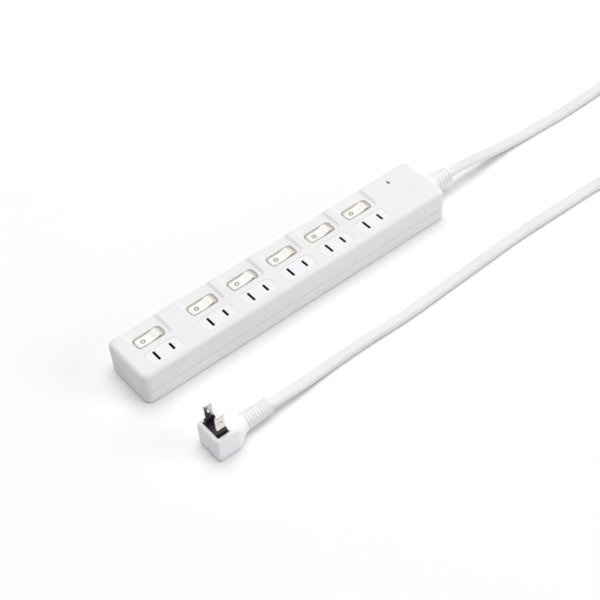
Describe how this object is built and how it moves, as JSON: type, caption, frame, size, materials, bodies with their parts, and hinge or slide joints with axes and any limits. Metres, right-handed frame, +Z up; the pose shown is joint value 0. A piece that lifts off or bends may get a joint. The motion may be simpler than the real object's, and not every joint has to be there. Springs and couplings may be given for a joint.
{
  "type": "power strip",
  "caption": "Slim white power strip with a row of two-pole outlets, a translucent rocker switch for each, a flat supply cord and a right-angle two-blade plug.",
  "frame": {"origin": "bottom centre of the case, without the cord and what is on it", "axes": "+X along the strip towards the cord, +Y across it towards the switches, +Z up"},
  "size_m": [0.5941, 0.1346, 0.037],
  "materials": {
    "case_plastic": "fine satin moulded ABS, white",
    "insert_plastic": "satin urea resin, white",
    "frame_plastic": "smooth translucent, grey tan",
    "rocker_plastic": "smooth translucent, clear cream",
    "plunger_plastic": "plain acetal",
    "brass": "stamped strip",
    "steel": "zinc plated",
    "lamp_glass": "clear glass",
    "resistor_lacquer": "lacquer",
    "varistor_lacquer": "dipped epoxy",
    "live_insulation": "PVC",
    "neutral_insulation": "PVC",
    "clamp_plastic": "moulded nylon",
    "bushing_pvc": "soft moulded PVC, white",
    "cord_pvc": "soft PVC sheath, white",
    "tie_plastic": "soft strap",
    "plug_pvc": "soft moulded PVC, white",
    "black_plastic": "moulded, black",
    "blade_metal": "nickel plated brass"
  },
  "bodies": {
    "case": {"upper_cover": "case_plastic", "base_cover": "case_plastic", "case_screws": "steel", "clamp_screws": "steel", "neutral_bus": "brass", "live_bus": "brass", "live_contact_1": "brass", "live_contact_2": "brass", "live_contact_3": "brass", "live_contact_4": "brass", "live_contact_5": "brass", "live_contact_6": "brass", "neon_lamps": "lamp_glass", "neon_resistors": "resistor_lacquer", "varistor": "varistor_lacquer", "live_lead": "live_insulation", "neutral_lead": "neutral_insulation", "cord_clamp": "clamp_plastic", "cord_bushing": "bushing_pvc", "cord_jacket": "cord_pvc", "cord_strip_run": "cord_pvc", "cord_plug_run": "cord_pvc", "cord_coil": "cord_pvc", "coil_tie": "tie_plastic", "plug_body": "plug_pvc", "plug_insert": "black_plastic", "plug_blades": "blade_metal", "outlet_insert_1": "insert_plastic", "outlet_insert_2": "insert_plastic", "outlet_insert_3": "insert_plastic", "outlet_insert_4": "insert_plastic", "outlet_insert_5": "insert_plastic", "outlet_insert_6": "insert_plastic", "switch_frame_1": "frame_plastic", "switch_frame_2": "frame_plastic", "switch_frame_3": "frame_plastic", "switch_frame_4": "frame_plastic", "switch_frame_5": "frame_plastic", "switch_frame_6": "frame_plastic"},
    "switch_1": {"rocker_1": "rocker_plastic", "rocker_plunger_1": "plunger_plastic"},
    "arm_1": {"contact_arm_1": "brass"},
    "switch_2": {"rocker_2": "rocker_plastic", "rocker_plunger_2": "plunger_plastic"},
    "arm_2": {"contact_arm_2": "brass"},
    "switch_3": {"rocker_3": "rocker_plastic", "rocker_plunger_3": "plunger_plastic"},
    "arm_3": {"contact_arm_3": "brass"},
    "switch_4": {"rocker_4": "rocker_plastic", "rocker_plunger_4": "plunger_plastic"},
    "arm_4": {"contact_arm_4": "brass"},
    "switch_5": {"rocker_5": "rocker_plastic", "rocker_plunger_5": "plunger_plastic"},
    "arm_5": {"contact_arm_5": "brass"},
    "switch_6": {"rocker_6": "rocker_plastic", "rocker_plunger_6": "plunger_plastic"},
    "arm_6": {"contact_arm_6": "brass"}
  },
  "joints": [
    {"name": "rock_1", "type": "hinge", "parent": "case", "child": "switch_1", "pos_m": [-0.1103, 0.0075, 0.02], "axis": [0, 1, 0], "range_deg": [0, 14]},
    {"name": "arm_rock_1", "type": "hinge", "parent": "case", "child": "arm_1", "pos_m": [-0.1103, 0.0075, 0.0129], "axis": [0, 1, 0], "range_deg": [-11, 0]},
    {"name": "rock_2", "type": "hinge", "parent": "case", "child": "switch_2", "pos_m": [-0.0653, 0.0075, 0.02], "axis": [0, 1, 0], "range_deg": [0, 14]},
    {"name": "arm_rock_2", "type": "hinge", "parent": "case", "child": "arm_2", "pos_m": [-0.0653, 0.0075, 0.0129], "axis": [0, 1, 0], "range_deg": [-11, 0]},
    {"name": "rock_3", "type": "hinge", "parent": "case", "child": "switch_3", "pos_m": [-0.0303, 0.0075, 0.02], "axis": [0, 1, 0], "range_deg": [0, 14]},
    {"name": "arm_rock_3", "type": "hinge", "parent": "case", "child": "arm_3", "pos_m": [-0.0303, 0.0075, 0.0129], "axis": [0, 1, 0], "range_deg": [-11, 0]},
    {"name": "rock_4", "type": "hinge", "parent": "case", "child": "switch_4", "pos_m": [0.0047, 0.0075, 0.02], "axis": [0, 1, 0], "range_deg": [0, 14]},
    {"name": "arm_rock_4", "type": "hinge", "parent": "case", "child": "arm_4", "pos_m": [0.0047, 0.0075, 0.0129], "axis": [0, 1, 0], "range_deg": [-11, 0]},
    {"name": "rock_5", "type": "hinge", "parent": "case", "child": "switch_5", "pos_m": [0.0397, 0.0075, 0.02], "axis": [0, 1, 0], "range_deg": [0, 14]},
    {"name": "arm_rock_5", "type": "hinge", "parent": "case", "child": "arm_5", "pos_m": [0.0397, 0.0075, 0.0129], "axis": [0, 1, 0], "range_deg": [-11, 0]},
    {"name": "rock_6", "type": "hinge", "parent": "case", "child": "switch_6", "pos_m": [0.0747, 0.0075, 0.02], "axis": [0, 1, 0], "range_deg": [0, 14]},
    {"name": "arm_rock_6", "type": "hinge", "parent": "case", "child": "arm_6", "pos_m": [0.0747, 0.0075, 0.0129], "axis": [0, 1, 0], "range_deg": [-11, 0]}
  ],
  "couplings": [
    {"joint": "arm_rock_1", "follows": "rock_1", "ratio": -0.7857},
    {"joint": "arm_rock_2", "follows": "rock_2", "ratio": -0.7857},
    {"joint": "arm_rock_3", "follows": "rock_3", "ratio": -0.7857},
    {"joint": "arm_rock_4", "follows": "rock_4", "ratio": -0.7857},
    {"joint": "arm_rock_5", "follows": "rock_5", "ratio": -0.7857},
    {"joint": "arm_rock_6", "follows": "rock_6", "ratio": -0.7857}
  ]
}
